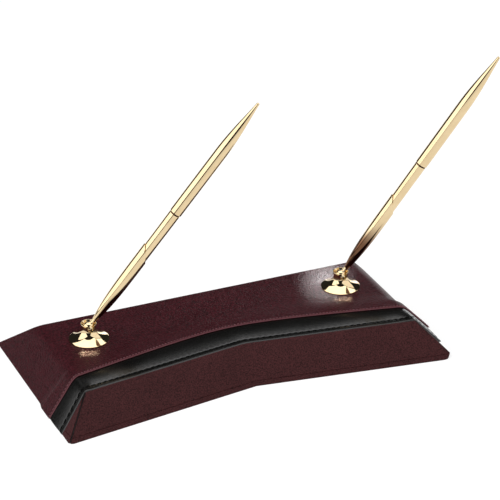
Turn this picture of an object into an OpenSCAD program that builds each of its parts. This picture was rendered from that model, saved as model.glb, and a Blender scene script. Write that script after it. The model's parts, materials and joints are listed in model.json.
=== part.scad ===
// Double pen stand: a leather-covered desk base with two ball-swivel holders and two slim pens.
// The origin is the middle of the underside. +X runs to the right, +Y to the back and +Z up.

/* [Base] */
// Length of the base across its front corners
base_l = 266.7; // [255:0.1:280]
// Depth of the base at its ends
base_d = 139.7; // [130:0.1:150]
// How far the front edge is drawn in at the middle
notch_d = 19.5; // [10:0.5:26]
// Height from the table to the top panel
base_h = 22; // [20:0.5:26]
// How far an end bevel leans in over the height
end_run = 20; // [14:0.5:22]
// How far the front bevel leans in over the height
front_run = 20; // [14:0.5:22]
// How far the back bevel leans in over the height
back_run = 26.5; // [14:0.5:28]
// Rounding of the left front corner
left_corner_r = 3.5; // [2:0.5:10]
// Rounding of the right front corner
right_corner_r = 9; // [2:0.5:10]

/* [Leather] */
// Thickness of the leather on the bevels
cover_t = 0.9; // [0.6:0.1:1.2]
// Thickness of the black trim strip
trim_t = 0.9; // [0.7:0.1:1.2]
// Thickness of the top panel
panel_t = 1.2; // [1:0.1:1.6]
// Thickness of the felt pad under the base
pad_t = 1; // [0.6:0.1:1.2]
// Place of the panel's front edge at the middle
panel_mid_y = -9.6; // [-12:0.1:-4]
// How fast the panel's front edge sweeps forward to the ends
panel_rake = 0.235; // [0.1:0.005:0.26]
// Half width of the rounded middle of that edge
panel_round = 35; // [15:1:45]
// How far the trim strip goes on under the panel
trim_lap = 8; // [5:0.5:9]
// Forward drift of the strip's front edge down the left end, for each millimetre out
left_trim_drift = 0.46; // [-0.1:0.02:0.5]
// The same drift on the right end
right_trim_drift = -0.05; // [-0.1:0.01:0.5]
// Forward drift of the panel's front edge down the left end, for each millimetre out
left_panel_drift = 0.28; // [-0.15:0.01:0.4]
// The same drift on the right end
right_panel_drift = -0.15; // [-0.15:0.01:0.4]
// Width of a row of stitches
thread_w = 0.6; // [0.4:0.1:0.8]

/* [Swivel holder] */
// Distance of a holder from the middle
socket_x = 89.3; // [70:0.1:92]
// Distance of the holders behind the middle
socket_y = 13.3; // [8:0.1:18]
// Diameter of the bell's foot
flange_dia = 25.9; // [22:0.1:30]
// Height of the bell
bell_h = 11.8; // [11.4:0.1:12]
// Diameter of the bell's waist
waist_dia = 9.6; // [9.4:0.1:10]
// Diameter of the bell's lip
collar_dia = 10.4; // [10.4:0.1:11.4]
// Diameter of the ball
ball_dia = 8; // [7.6:0.1:8]
// Height of the ball's middle above the top panel
ball_up = 8.5; // [8.3:0.1:8.7]
// Width of the slot in the bell's front
slot_w = 4.2; // [3.4:0.1:4.6]
// Diameter of the stem that stands on the ball
stem_dia = 3; // [2.6:0.1:3]
// Distance from the ball's middle to the middle of the funnel's mouth
mouth_s = 63; // [56:0.5:64]
// Diameter of the funnel at its mouth
mouth_dia = 8.5; // [8.5:0.1:9.5]
// Slant of the mouth from square
mouth_slant = 54; // [0:1:58]
// Thickness of the funnel's wall
funnel_wall = 0.45; // [0.3:0.05:0.45]

/* [Pens] */
// Distance from the ball's middle to the tail of a pen
tail_s = 186; // [180:1:200]
// Distance from the ball's middle to the ring between the barrels
ring_s = 96.5; // [85:0.1:105]
// Diameter of the tail barrel
tail_dia = 8.1; // [7.8:0.1:9]
// Length of the tail barrel's taper
tail_taper = 40; // [25:1:50]
// Diameter of the lower barrel beside the ring
grip_dia = 7.44; // [7.2:0.02:7.5]

/* [Rest pose] */
// Lean of the left pen from upright
left_lean = 36; // [0:1:38]
// Heading of the left pen's lean, from +X
left_turn = -17; // [-40:1:40]
// Lean of the right pen from upright
right_lean = 31.8; // [0:0.1:38]
// Heading of the right pen's lean, from +X
right_turn = -25.5; // [-40:0.5:40]

/* [Hidden] */
$fn = 64;

BURGUNDY = "#4b1c26";
BROWN_BURGUNDY = "#47212a";
BLACK_LEATHER = "#23221f";
PINK_THREAD = "#8d5a66";
BLACK_THREAD = "#151513";
GOLD = "#d7b36a";
STEEL = "#9a9a98";
RING_RED = "#3a1210";
BOARD = "#a5835c";
FELT = "#1d2420";
NYLON = "#d8d4c8";

LEFT = -1;
RIGHT = 1;
reach = 600;
far_out = 60;

// Heights of the layers
cover_low = 0.1;
core_top = base_h - panel_t;
trim_top = core_top + trim_t;
lap_t = trim_t + panel_t;
thread_t = 0.2;

// Outline at the table: the front edge is a shallow V, and the ends are parallel
front_mid_y = notch_d - base_d / 2;
front_rake = notch_d / (base_l / 2);
front_bend = atan(front_rake);
front_turn = -90 - front_bend;
crease_x = base_l / 2 - end_run;
inner_round = -cover_t / cos(atan(end_run / base_h));

// Sizes inside the holder
bell_rim_t = 0.9;
waist_up = 8.8;
flare_power = 2.5;
lip_t = 0.5;
mouth_lip_r = collar_dia / 2 - lip_t;
bore_r = 4.2;
throat_r = 3.75;
throat_up = ball_up + 1.7;
throat_bevel = 0.6;
slot_low = 6.9;
plug_h = 2.8;
plug_gap = 0.05;
seat_low = 3.7;
seat_top = 6.5;
seat_gap = 0.1;
seat_r = 4;
spring_t = 0.3;
spring_top = 3.6;
stud_r = 2.5;
stud_hole_r = 2.8;
stud_low = 3.5;
well_r = 8;
well_top = 10;
washer_t = 1;
washer_r = 6.5;
nut_h = 4;
nut_flats = 8;
nut_gap = 0.05;
stem_l = 7;
screw_r = 1.2;
screw_l = 4;
screw_gap = 0.05;
funnel_curve = 4.5;
funnel_floor = 13;
funnel_cut = 70;

// Sizes inside a pen
nose_s = 18;
nose_end_s = 43;
nose_tip_r = 0.9;
nose_join_r = 3.5;
nose_curve = 0.8;
spigot_l = 6;
spigot_r = 2.95;
pen_bore_r = 3;
refill_r = 1.15;
refill_hole_r = 1.25;
point_hole_r = 0.72;
point_r = 0.6;
point_s = 16;
refill_shoulder_s = 20.5;
refill_end_s = 133;
ring_w = 0.8;
ring_sink = 0.2;
bush_half = 12;
tail_end_r = 1;
tail_bulge = 1.2;
tail_bore_end_s = 150;

pivot_z = base_h + ball_up;

// Space beyond a sloping face that passes through a point on the table
module beyond(point, turn, run, shift) {
    translate(point)
        rotate([0, -atan(run / base_h), turn])
            translate([shift, -reach / 2, -reach / 2])
                cube(reach);
}

// Waste outside the rounded front corner, between the headings of the end and of the front
module corner_waste(centre, r) {
    translate([centre[0], centre[1], 0])
        difference() {
            linear_extrude(reach, center = true)
                polygon([
                    [0, 0],
                    [far_out, 0],
                    2 * far_out * [cos(front_turn / 2), sin(front_turn / 2)],
                    far_out * [cos(front_turn), sin(front_turn)]
                ]);
            cylinder(r = r, h = 2 * reach, center = true);
        }
}

// Right half of the bevelled base between two heights, with each face moved out by its shift
module half_block(low, top, front, back, end, lean = 1) {
    difference() {
        translate([0, -base_d, low])
            cube([base_l, 2 * base_d, top - low]);
        beyond([0, front_mid_y, 0], front_turn, front_run * lean, front);
        beyond([0, base_d / 2, 0], 90, back_run * lean, back);
        beyond([base_l / 2, -base_d / 2, 0], 0, end_run * lean, end);
    }
}

// The same half with its front corner rounded
module round_half_block(low, top, front, back, end, r, grow) {
    centre = [base_l / 2 - r, -base_d / 2 + r * (1 + sin(front_bend)) / cos(front_bend)];
    difference() {
        half_block(low, top, front, back, end);
        corner_waste(centre, r + grow);
    }
}

module on_side(side) {
    mirror([side == LEFT ? 1 : 0, 0, 0])
        children();
}

function corner_r(side) = side == LEFT ? left_corner_r : right_corner_r;

module block(low, top, front, back, end, lean = 1) {
    for (side = [LEFT, RIGHT])
        on_side(side)
            half_block(low, top, front, back, end, lean);
}

module round_block(low, top, front, back, end, grow = 0) {
    for (side = [LEFT, RIGHT])
        on_side(side)
            round_half_block(low, top, front, back, end, corner_r(side), grow);
}

// The space of the board, without a bottom or a top
module board_space() {
    round_block(-far_out, far_out, -cover_t, -cover_t, -cover_t, inner_round);
}

// A layer over the top and the end bevels, between two levels on the top and two on the ends
module wrap(low, top, end_low, end_top) {
    difference() {
        round_block(cover_low, core_top + top, 0, 0, end_top);
        block(-far_out, core_top + low, far_out, far_out, end_low);
    }
}

// Edges in plan: the panel's front edge, the place where it steps down behind the strip, and the
// strip's front edge
function end_drift(x, left, right) = (x < 0 ? left : right) * max(abs(x) - crease_x, 0);
function panel_sweep(x) =
    panel_mid_y - panel_rake * (norm([min(abs(x), crease_x), panel_round]) - panel_round);
function panel_edge(x) = panel_sweep(x) - end_drift(x, left_panel_drift, right_panel_drift);
function step_edge(x) = panel_sweep(x) + trim_lap;
function trim_edge(x) =
    front_mid_y - front_rake * min(abs(x), crease_x)
    + front_run * trim_top / base_h / cos(front_bend)
    - end_drift(x, left_trim_drift, right_trim_drift);

panel_xs = [-reach / 2, for (k = [-14:14]) crease_x * k / 14, reach / 2];
trim_xs = [-reach / 2, -crease_x, 0, crease_x, reach / 2];

module panel_plan(shift) {
    linear_extrude(reach, center = true)
        polygon([
            for (x = panel_xs) [x, panel_edge(x) + shift],
            [reach / 2, reach],
            [-reach / 2, reach]
        ]);
}

module step_plan(shift) {
    linear_extrude(reach, center = true)
        polygon([
            for (x = panel_xs) [x, step_edge(x) + shift],
            [reach / 2, reach],
            [-reach / 2, reach]
        ]);
}

module trim_plan(shift) {
    linear_extrude(reach, center = true)
        polygon([
            for (x = trim_xs) [x, trim_edge(x) + shift],
            [reach / 2, reach],
            [-reach / 2, reach]
        ]);
}

module stud_holes(r) {
    for (side = [LEFT, RIGHT])
        translate([side * socket_x, socket_y, 0])
            cylinder(r = r, h = base_h + 1);
}

module core_board() {
    color(BOARD)
        difference() {
            round_block(pad_t, core_top, -cover_t, -cover_t, -cover_t, inner_round);
            stud_holes(stud_hole_r);
            for (side = [LEFT, RIGHT])
                translate([side * socket_x, socket_y, 0])
                    cylinder(r = well_r, h = well_top);
        }
}

module front_cover() {
    color(BROWN_BURGUNDY)
        difference() {
            round_block(cover_low, core_top, 0, -cover_t, -cover_t);
            board_space();
            translate([-reach / 2, 0, -reach / 2])
                cube(reach);
        }
}

module back_cover() {
    color(BROWN_BURGUNDY)
        difference() {
            block(cover_low, core_top, -cover_t, 0, -cover_t);
            block(-far_out, base_h, far_out, -cover_t, far_out);
        }
}

module end_cover(side) {
    color(BROWN_BURGUNDY)
        difference() {
            on_side(side)
                difference() {
                    round_half_block(cover_low, core_top, 0, 0, 0, corner_r(side), 0);
                    half_block(-far_out, base_h, far_out, far_out, -cover_t);
                }
            step_plan(0);
        }
}

module trim_strip() {
    color(BLACK_LEATHER)
        difference() {
            intersection() {
                wrap(0, trim_t, 0, trim_t);
                trim_plan(0);
            }
            step_plan(0);
        }
}

// The panel lies on the board, steps up and laps over the strip
module top_panel() {
    color(BURGUNDY)
        difference() {
            union() {
                intersection() {
                    wrap(0, panel_t, -cover_t, 0);
                    step_plan(0);
                }
                difference() {
                    intersection() {
                        wrap(0, lap_t, -cover_t, lap_t);
                        step_plan(0);
                    }
                    step_plan(panel_t);
                }
                difference() {
                    intersection() {
                        wrap(trim_t, lap_t, trim_t, lap_t);
                        panel_plan(0);
                    }
                    step_plan(panel_t);
                }
            }
            stud_holes(stud_hole_r);
        }
}

// A sewn row lies on its leather, a little way in from the edge that it follows
panel_row = 1.6;
trim_row = 4.6;

module panel_thread() {
    color(PINK_THREAD)
        difference() {
            intersection() {
                wrap(lap_t, lap_t + thread_t, lap_t, lap_t + thread_t);
                panel_plan(panel_row);
            }
            panel_plan(panel_row + thread_w);
        }
}

module trim_thread() {
    color(BLACK_THREAD)
        difference() {
            intersection() {
                wrap(trim_t, trim_t + thread_t, trim_t, trim_t + thread_t);
                trim_plan(trim_row);
            }
            trim_plan(trim_row + thread_w);
        }
}

module base_pad() {
    pad_in = -5;
    color(FELT)
        block(0, pad_t, pad_in, pad_in, pad_in, 0);
}

// Places things round a bell's axis, with their zero on the top panel
module at_socket(side) {
    translate([side * socket_x, socket_y, base_h])
        children();
}

// Places things along a pen's axis, with their zero in the middle of the ball
module at_pen(side) {
    translate([side * socket_x, socket_y, pivot_z])
        rotate([0, side == LEFT ? left_lean : right_lean, side == LEFT ? left_turn : right_turn])
            children();
}

flare = [
    for (k = [12:-1:0])
        [
            waist_dia / 2 + (flange_dia - waist_dia) / 2 * pow(k / 12, flare_power),
            waist_up - (waist_up - bell_rim_t) * k / 12
        ]
];
collar = [
    for (k = [1:5])
        [
            waist_dia / 2 + (collar_dia - waist_dia) / 2 * pow(k / 5, 2),
            waist_up + (bell_h - lip_t / 2 - waist_up) * k / 5
        ]
];

module socket(side) {
    color(GOLD)
        at_socket(side)
            difference() {
                rotate_extrude()
                    polygon(concat(
                        [[bore_r, 0], [flange_dia / 2, 0]],
                        flare,
                        collar,
                        [
                            [collar_dia / 2 - lip_t / 2, bell_h],
                            [mouth_lip_r, bell_h],
                            [throat_r, throat_up],
                            [bore_r, throat_up - throat_bevel]
                        ]
                    ));
                translate([0, 0, slot_low + slot_w / 2])
                    rotate([90, 0, 0])
                        cylinder(d = slot_w, h = flange_dia);
                translate([-slot_w / 2, -flange_dia, slot_low + slot_w / 2])
                    cube([slot_w, flange_dia, bell_h]);
            }
}

module socket_stud(side) {
    color(STEEL)
        at_socket(side)
            union() {
                cylinder(r = bore_r - plug_gap, h = plug_h);
                translate([0, 0, stud_low - base_h])
                    cylinder(r = stud_r, h = base_h - stud_low);
            }
}

module socket_washers() {
    color(STEEL)
        for (side = [LEFT, RIGHT])
            translate([side * socket_x, socket_y, well_top - washer_t])
                difference() {
                    cylinder(r = washer_r, h = washer_t);
                    translate([0, 0, -1])
                        cylinder(r = stud_hole_r, h = washer_t + 2);
                }
}

module socket_nuts() {
    color(STEEL)
        for (side = [LEFT, RIGHT])
            translate([side * socket_x, socket_y, well_top - washer_t - nut_h])
                difference() {
                    cylinder(d = nut_flats / cos(30), h = nut_h, $fn = 6);
                    translate([0, 0, -1])
                        cylinder(r = stud_r + nut_gap, h = nut_h + 2);
                }
}

// A coned disc spring presses the seat up against the ball
module seat_spring(side) {
    spring_out = 3.9;
    spring_in = 2;
    color(STEEL)
        at_socket(side)
            rotate_extrude()
                polygon([
                    [spring_out, plug_h],
                    [spring_out, plug_h + spring_t],
                    [spring_in, spring_top],
                    [spring_in, spring_top - spring_t]
                ]);
}

module ball_seat(side) {
    color(NYLON)
        at_socket(side)
            difference() {
                translate([0, 0, seat_low])
                    cylinder(r = seat_r, h = seat_top - seat_low);
                translate([0, 0, ball_up])
                    sphere(d = ball_dia + 2 * seat_gap);
            }
}

module swivel_ball(side) {
    color(GOLD)
        at_pen(side)
            union() {
                sphere(d = ball_dia);
                cylinder(d = stem_dia, h = stem_l);
                cylinder(r = screw_r, h = stem_l + screw_l);
            }
}

// Radius of the funnel along its axis: it swells fast from the stem and runs out almost straight
function funnel_r(s) =
    stem_dia / 2
    + (mouth_dia - stem_dia) / 2 * (1 - pow(1 - (s - stem_l) / (funnel_cut - stem_l), funnel_curve));
outside_s = [for (k = [0:14]) stem_l + (funnel_cut - stem_l) * pow(k / 14, 1.8)];
inside_s = [for (k = [12:-1:0]) funnel_floor + (funnel_cut - funnel_floor) * pow(k / 12, 1.6)];

module funnel(side) {
    color(GOLD)
        at_pen(side)
            difference() {
                rotate_extrude()
                    polygon(concat(
                        [[0, stem_l]],
                        [for (s = outside_s) [funnel_r(s), s]],
                        [for (s = inside_s) [funnel_r(s) - funnel_wall, s]],
                        [[0, funnel_floor]]
                    ));
                translate([0, 0, stem_l - 1])
                    cylinder(r = screw_r + screw_gap, h = screw_l + 1 + screw_gap);
                translate([0, 0, mouth_s])
                    rotate([0, mouth_slant, 0])
                        translate([-far_out / 2, -far_out / 2, 0])
                            cube(far_out);
            }
}

function nose_r(s) =
    nose_tip_r + (nose_join_r - nose_tip_r) * pow((s - nose_s) / (nose_end_s - nose_s), nose_curve);

module pen_nose(side) {
    bore_s = nose_s + 1.6;
    color(GOLD)
        at_pen(side)
            rotate_extrude()
                polygon(concat(
                    [[point_hole_r, nose_s]],
                    [for (k = [0:8]) let (s = nose_s + (nose_end_s - nose_s) * k / 8) [nose_r(s), s]],
                    [
                        [spigot_r, nose_end_s],
                        [spigot_r, nose_end_s + spigot_l],
                        [refill_hole_r, nose_end_s + spigot_l],
                        [refill_hole_r, bore_s],
                        [point_hole_r, bore_s]
                    ]
                ));
}

module lower_barrel(side) {
    ring_low = ring_s - ring_w / 2;
    color(GOLD)
        at_pen(side)
            rotate_extrude()
                polygon([
                    [pen_bore_r, nose_end_s],
                    [nose_join_r, nose_end_s],
                    [grip_dia / 2, ring_low],
                    [pen_bore_r, ring_low]
                ]);
}

module pen_ring(side) {
    color(RING_RED)
        at_pen(side)
            translate([0, 0, ring_s - ring_w / 2])
                difference() {
                    cylinder(r = grip_dia / 2 - ring_sink, h = ring_w);
                    translate([0, 0, -1])
                        cylinder(r = pen_bore_r, h = ring_w + 2);
                }
}

// Radius of the tail by the distance from its rounded end
function tail_r(t) =
    tail_end_r + (tail_dia / 2 - tail_end_r) * pow(sin(90 * min(t / tail_taper, 1)), tail_bulge);

module tail_barrel(side) {
    low = ring_s + ring_w / 2;
    cap_s = tail_s - tail_end_r;
    color(GOLD)
        at_pen(side)
            rotate_extrude()
                polygon(concat(
                    [[pen_bore_r, low], [tail_dia / 2, low]],
                    [for (k = [12:-1:1]) let (t = tail_taper * k / 12) [tail_r(t), cap_s - t]],
                    [for (a = [0:18:90]) [tail_end_r * cos(a), cap_s + tail_end_r * sin(a)]],
                    [[0, tail_bore_end_s], [pen_bore_r, tail_bore_end_s]]
                ));
}

module thread_bush(side) {
    color(STEEL)
        at_pen(side)
            translate([0, 0, ring_s - bush_half])
                difference() {
                    cylinder(r = spigot_r, h = 2 * bush_half);
                    translate([0, 0, -1])
                        cylinder(r = refill_hole_r, h = 2 * bush_half + 2);
                }
}

module refill(side) {
    color(STEEL)
        at_pen(side)
            rotate_extrude()
                polygon([
                    [0, point_s],
                    [point_r / 2, point_s],
                    [point_r, nose_s],
                    [point_r, refill_shoulder_s],
                    [refill_r, refill_shoulder_s],
                    [refill_r, refill_end_s],
                    [0, refill_end_s]
                ]);
}

core_board();
front_cover();
back_cover();
end_cover(LEFT);  // left_end_cover
end_cover(RIGHT);  // right_end_cover
trim_strip();
top_panel();
panel_thread();
trim_thread();
base_pad();
socket(LEFT);  // left_socket
socket(RIGHT);  // right_socket
socket_stud(LEFT);  // left_socket_stud
socket_stud(RIGHT);  // right_socket_stud
socket_washers();
socket_nuts();
seat_spring(LEFT);  // left_seat_spring
seat_spring(RIGHT);  // right_seat_spring
ball_seat(LEFT);  // left_ball_seat
ball_seat(RIGHT);  // right_ball_seat
swivel_ball(LEFT);  // left_swivel_ball
swivel_ball(RIGHT);  // right_swivel_ball
funnel(LEFT);  // left_funnel
funnel(RIGHT);  // right_funnel
pen_nose(LEFT);  // left_pen_nose
pen_nose(RIGHT);  // right_pen_nose
lower_barrel(LEFT);  // left_lower_barrel
lower_barrel(RIGHT);  // right_lower_barrel
pen_ring(LEFT);  // left_pen_ring
pen_ring(RIGHT);  // right_pen_ring
tail_barrel(LEFT);  // left_tail_barrel
tail_barrel(RIGHT);  // right_tail_barrel
thread_bush(LEFT);  // left_thread_bush
thread_bush(RIGHT);  // right_thread_bush
refill(LEFT);  // left_refill
refill(RIGHT);  // right_refill
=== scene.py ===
# %% [markdown]
# # A double pen stand
# The stand is a low leather-covered board with two gold ball-swivel holders and two slim gold pens.
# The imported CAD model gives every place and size. This lesson models what the eye sees on top of it:
# soft leather, sewn rows, polished metal. Lengths are in metres, so a size in millimetres is times MM.

# %% Load the frame
import json
import math

import bmesh
import bpy
from mathutils import Matrix, Vector


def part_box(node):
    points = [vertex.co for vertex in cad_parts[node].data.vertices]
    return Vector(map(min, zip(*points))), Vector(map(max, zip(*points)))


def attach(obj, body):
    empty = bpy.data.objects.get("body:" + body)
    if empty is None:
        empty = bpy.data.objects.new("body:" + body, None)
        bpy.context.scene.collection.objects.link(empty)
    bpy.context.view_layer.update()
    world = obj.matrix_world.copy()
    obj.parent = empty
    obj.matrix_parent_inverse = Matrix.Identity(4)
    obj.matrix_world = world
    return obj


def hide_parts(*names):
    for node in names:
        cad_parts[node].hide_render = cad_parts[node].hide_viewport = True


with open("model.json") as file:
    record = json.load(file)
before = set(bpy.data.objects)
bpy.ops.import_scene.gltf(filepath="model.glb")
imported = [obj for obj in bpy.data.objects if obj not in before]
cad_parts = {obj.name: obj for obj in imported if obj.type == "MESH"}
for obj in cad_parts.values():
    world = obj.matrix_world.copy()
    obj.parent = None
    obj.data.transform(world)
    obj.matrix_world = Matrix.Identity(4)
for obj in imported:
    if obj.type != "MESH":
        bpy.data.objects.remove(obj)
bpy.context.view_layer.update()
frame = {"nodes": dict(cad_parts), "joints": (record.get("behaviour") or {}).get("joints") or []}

MM = 0.001
TOUCH = 0.001 * MM
HOLDERS = ("left", "right")
scene = bpy.context.scene

# %% [markdown]
# ## Camera
# The photograph was taken with a long lens from the front left, looking down at about 27 degrees.
# A direction, a distance and a focal length in pixels are enough to place it, and the sensor width
# turns those pixels into millimetres of lens.

# %% Camera
PHOTO_SIDE = 500
FOCAL_PIXELS = 2390
SENSOR_WIDTH = 36.0
VIEW_AZIMUTH = math.radians(-23.75)
VIEW_ELEVATION = math.radians(26.98)
VIEW_DISTANCE = 1.67
VIEW_TARGET = Vector((0.06528, 0.1085, 0.010))


def from_studio(azimuth, elevation):
    """Direction from the object to a place in the studio, both angles in radians."""
    flat = math.cos(elevation)
    return Vector((math.sin(azimuth) * flat, -math.cos(azimuth) * flat, math.sin(elevation)))


to_camera = from_studio(VIEW_AZIMUTH, VIEW_ELEVATION)
bpy.ops.object.camera_add(
    location=VIEW_TARGET + to_camera * VIEW_DISTANCE,
    rotation=(-to_camera).to_track_quat("-Z", "Y").to_euler(),
)
camera = bpy.context.object
camera.name = "camera"
camera.data.sensor_width = SENSOR_WIDTH
camera.data.lens = SENSOR_WIDTH * FOCAL_PIXELS / PHOTO_SIDE
scene.camera = camera
print("camera lens in mm:", round(camera.data.lens, 1))

# %% [markdown]
# ## Studio
# Polished gold shows whatever stands round it, so the lights matter as much as the metal: white
# softboxes above and at both sides, and a dark room behind the camera for the black reflections.
# The bells throw some light on the leather round them, and behind the right bell the leather has a
# pale sheen. Small spots stand in for that light. Once the panel is made, light linking lets them
# light the panel and nothing else.

# %% Studio
STUDIO_CENTRE = Vector((0, 0, 0.02))
FLOOR_RADIUS = 7.0
ROOM_GREY = 0.02
WHITE = (1.0, 1.0, 1.0)
GLOW_AZIMUTH, GLOW_ELEVATION = 178, 28
GLOW_THROW = 50
GLOW_SOFTNESS = 0.008
FOOT_GLOW_R = 19.3 * MM
FOOT_GLOW_HEADINGS = (-122, -114, -106, -98)
FOOT_GLOW_WIDTH = 4.2 * MM
FOOT_GLOW_COLOUR = (1.0, 0.72, 0.45)
FOOT_GLOW_STRENGTH = {"left": 120, "right": 75}
SHEEN_R, SHEEN_HEADING = 14.4 * MM, 107
SHEEN_WIDTH, SHEEN_STRENGTH = 27 * MM, 115


def add_light(kind, name, aim, azimuth, elevation, distance):
    """A light that looks at its aim. The azimuth is in degrees from the camera's side."""
    direction = from_studio(VIEW_AZIMUTH + math.radians(azimuth), math.radians(elevation))
    bpy.ops.object.light_add(
        type=kind,
        location=aim + direction * distance,
        rotation=direction.to_track_quat("Z", "Y").to_euler(),
    )
    light = bpy.context.object
    light.name = name
    return light


def softbox(name, azimuth, elevation, distance, width, height, power):
    light = add_light("AREA", name, STUDIO_CENTRE, azimuth, elevation, distance)
    light.data.shape = "RECTANGLE"
    light.data.size = width
    light.data.size_y = height
    light.data.energy = power


def glow(name, aim, width, strength, colour):
    """A soft spot from behind that only lights a circle of this width round its aim."""
    distance = GLOW_THROW * width
    light = add_light("SPOT", name, aim, GLOW_AZIMUTH, GLOW_ELEVATION, distance)
    light.data.spot_size = 2 * math.atan2(width / 2, distance)
    light.data.spot_blend = 1.0
    light.data.shadow_soft_size = GLOW_SOFTNESS * distance
    light.data.use_shadow = False
    light.data.energy = strength * distance**2
    light.data.color = colour
    return light


def bell_foot(word):
    """The middle of the left or right bell's foot."""
    low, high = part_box(f"{word}_socket")
    return Vector(((low.x + high.x) / 2, (low.y + high.y) / 2, low.z))


def beside_bell(word, reach, heading):
    """A point on the leather at this distance and heading, in degrees, from the middle of a bell."""
    angle = math.radians(heading)
    return bell_foot(word) + reach * Vector((math.cos(angle), math.sin(angle), 0))


softbox("overhead_box", azimuth=180, elevation=75, distance=1.5, width=1.9, height=1.5, power=18)
softbox("left_box", azimuth=-70, elevation=30, distance=1.5, width=2.2, height=1.5, power=19)
softbox("right_box", azimuth=80, elevation=30, distance=1.5, width=3.2, height=1.5, power=18)
softbox("rear_box", azimuth=158, elevation=5, distance=2.0, width=1.3, height=0.36, power=3.4)
sheen_aim = beside_bell("right", SHEEN_R, SHEEN_HEADING)
glows = [glow("right_sheen", sheen_aim, SHEEN_WIDTH, SHEEN_STRENGTH, WHITE)]
for word in HOLDERS:
    strength = FOOT_GLOW_STRENGTH[word]
    for heading in FOOT_GLOW_HEADINGS:
        aim = beside_bell(word, FOOT_GLOW_R, heading)
        glows.append(glow(f"{word}_foot_glow", aim, FOOT_GLOW_WIDTH, strength, FOOT_GLOW_COLOUR))

scene.world = bpy.data.worlds.new("dark_room")
scene.world.use_nodes = True
room = scene.world.node_tree.nodes["Background"]
room.inputs["Color"].default_value = (ROOM_GREY, ROOM_GREY, ROOM_GREY, 1)
scene.view_settings.view_transform = "Standard"

# %% [markdown]
# ## Working by hand, in code
# Operators act on whatever is selected. These few helpers clear the selection, pick vertices or edges
# by a test on their place, cut, bevel and mirror, and say where a finished piece belongs.


# %% Helpers for modelling
def clear_selection():
    if bpy.context.object and bpy.context.object.mode == "EDIT":
        bpy.ops.object.mode_set(mode="OBJECT")
    bpy.ops.object.select_all(action="DESELECT")


def hold(piece):
    """Makes this piece the only selected one."""
    clear_selection()
    piece.select_set(True)
    bpy.context.view_layer.objects.active = piece


def begin(name, add, **how):
    """A new primitive under this name, the only selected one."""
    clear_selection()
    add(**how)
    piece = bpy.context.object
    piece.name = name
    return piece


def pick(piece, kind, wanted):
    """In edit mode, selects the elements of one kind (VERT or EDGE) that pass a test."""
    bpy.ops.mesh.select_mode(type=kind)
    bpy.ops.mesh.select_all(action="DESELECT")
    mesh = bmesh.from_edit_mesh(piece.data)
    for element in {"VERT": mesh.verts, "EDGE": mesh.edges}[kind]:
        if wanted(element):
            element.select_set(True)
    bmesh.update_edit_mesh(piece.data)


def apply_modifier(piece, kind, **settings):
    hold(piece)
    modifier = piece.modifiers.new(kind.lower(), kind)
    for name, value in settings.items():
        setattr(modifier, name, value)
    bpy.ops.object.modifier_apply(modifier=modifier.name)


def smooth(piece, degrees=35):
    hold(piece)
    bpy.ops.object.shade_smooth_by_angle(angle=math.radians(degrees))


def ease_edges(piece, width, degrees, segments=3):
    """Bevels the edges that turn by more than this angle."""
    limit = math.radians(degrees)
    apply_modifier(
        piece, "BEVEL", width=width, segments=segments, limit_method="ANGLE", angle_limit=limit
    )


def mirror_half(piece):
    """Adds the left half to a right half that is open in the middle."""
    right_to_left = (True, False, False)
    apply_modifier(piece, "MIRROR", use_axis=right_to_left, use_clip=True, merge_threshold=10 * TOUCH)


def take_all():
    bpy.ops.mesh.select_all(action="SELECT")


def saw(point, normal, **how):
    """In edit mode, cuts everything along a plane."""
    take_all()
    bpy.ops.mesh.bisect(plane_co=point, plane_no=normal, **how)


def turn_normals_out():
    """Turns all normals outwards and leaves edit mode."""
    take_all()
    bpy.ops.mesh.normals_make_consistent(inside=False)
    bpy.ops.object.mode_set(mode="OBJECT")


def put(piece, matrix):
    """Places a piece and leaves that place in its mesh."""
    hold(piece)
    piece.matrix_world = matrix
    bpy.ops.object.transform_apply()


def mark(piece, name, share_of):
    """Writes a mask into the mesh, with a value from 0 to 1 for each vertex."""
    marks = piece.data.attributes.new(name, "FLOAT", "POINT")
    for vertex in piece.data.vertices:
        marks.data[vertex.index].value = share_of(vertex)


def finish_piece(piece, body, replaced, material):
    piece.data.materials.clear()
    piece.data.materials.append(material)
    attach(piece, body)
    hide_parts(*replaced)
    piece.data.calc_loop_triangles()
    triangles = len(piece.data.loop_triangles)
    print(piece.name, "stands for", ", ".join(replaced), "with", triangles, "triangles")


# %% [markdown]
# ## Floor
# A plain white disc, so wide that its rim stays out of the picture. A table that is lit from below
# as well keeps the shadows faint, as in a catalogue picture, so its material glows a little.

# %% Floor
disc = bpy.ops.mesh.primitive_circle_add
floor = begin("floor", disc, vertices=64, radius=FLOOR_RADIUS, fill_type="NGON")
print("floor of", 2 * FLOOR_RADIUS, "m")

# %% [markdown]
# ## Shared finishes
# Two effects are used by more than one material, so each is a node group: the pebbled grain of
# leather, and the soft mottling that dyed, turned and handled things all have. A group only puts out
# masks and heights. The shader stays in the material.


# %% Node helpers
def add_node(tree, kind, inputs=None, **settings):
    """A node with constants on its inputs, which go by name or by number."""
    node = tree.nodes.new(kind)
    for name, value in settings.items():
        setattr(node, name, value)
    for name, value in (inputs or {}).items():
        node.inputs[name].default_value = value
    return node


def wire(tree, *rows):
    """Links nodes. Each row holds a node, its output, the next node and its input."""
    for source, output, target, socket in rows:
        tree.links.new(source.outputs[output], target.inputs[socket])


def new_group(name, inputs, outputs):
    """A shader group with a Vector input and these float inputs and outputs."""
    tree = bpy.data.node_groups.new(name, "ShaderNodeTree")
    tree.interface.new_socket("Vector", in_out="INPUT", socket_type="NodeSocketVector")
    for way, sockets in (("INPUT", inputs), ("OUTPUT", outputs)):
        for socket in sockets:
            tree.interface.new_socket(socket, in_out=way, socket_type="NodeSocketFloat")
    return tree, add_node(tree, "NodeGroupInput"), add_node(tree, "NodeGroupOutput")


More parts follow.
